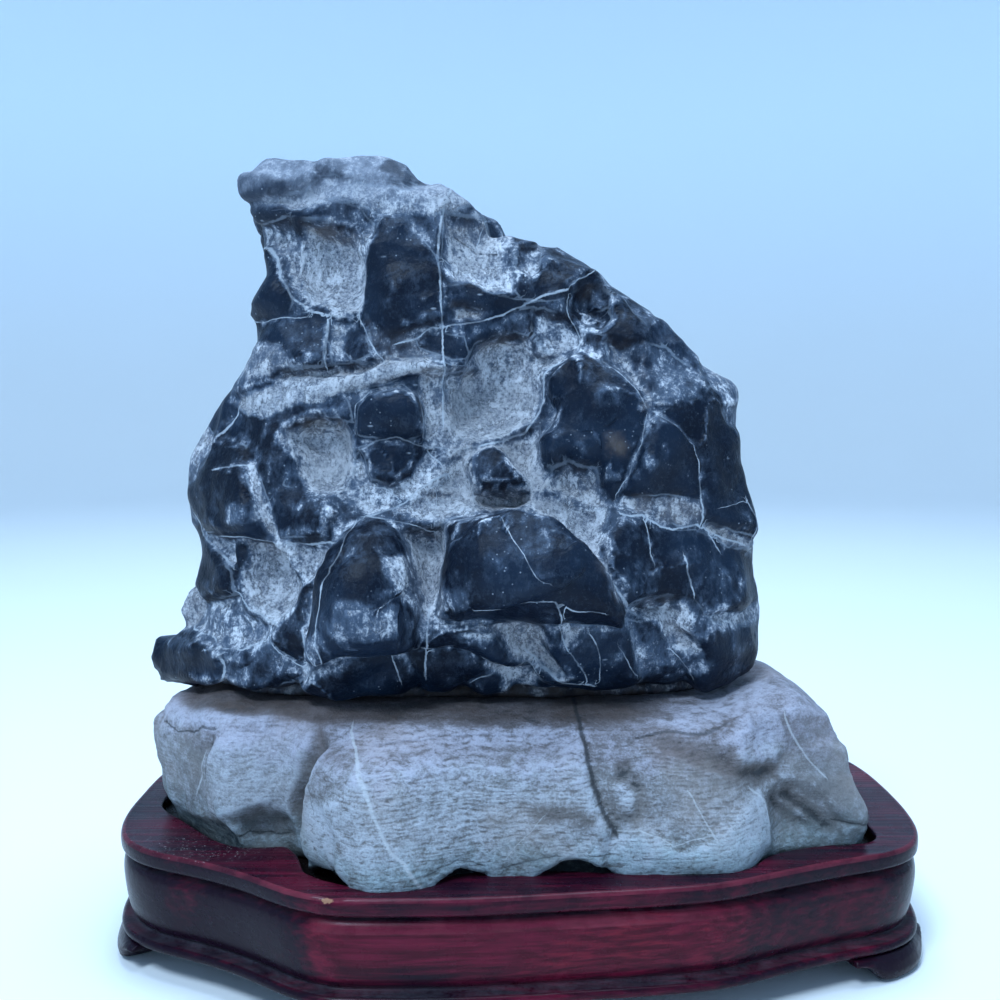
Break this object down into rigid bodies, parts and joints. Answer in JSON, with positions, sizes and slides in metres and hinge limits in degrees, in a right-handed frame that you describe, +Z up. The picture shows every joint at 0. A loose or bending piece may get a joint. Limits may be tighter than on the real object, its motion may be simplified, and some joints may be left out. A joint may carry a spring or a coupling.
{
  "type": "scholars rock",
  "caption": "Dark veined limestone peak on a wider slab of pale limestone, seated in the recess of a carved and lacquered wooden stand on scroll feet.",
  "frame": {"origin": "middle of the footprint, on the surface that the feet stand on", "axes": "+Z up, -Y towards the viewed front of the rock, +X to the right seen from the front"},
  "size_m": [0.2684, 0.1662, 0.262],
  "materials": {
    "dark_limestone": "water-worn, satin on the swellings, rough and dusty in the hollows",
    "pale_limestone": "matt, finely rippled",
    "lacquered_wood": "dark red-brown lacquer, satin gloss, worn at the edges"
  },
  "bodies": {
    "root": {"dark_stone": "dark_limestone", "pale_base_stone": "pale_limestone", "stand_body": "lacquered_wood", "stand_foot_front_left": "lacquered_wood", "stand_foot_front_right": "lacquered_wood", "stand_foot_back_left": "lacquered_wood", "stand_foot_back_right": "lacquered_wood"}
  },
  "joints": []
}
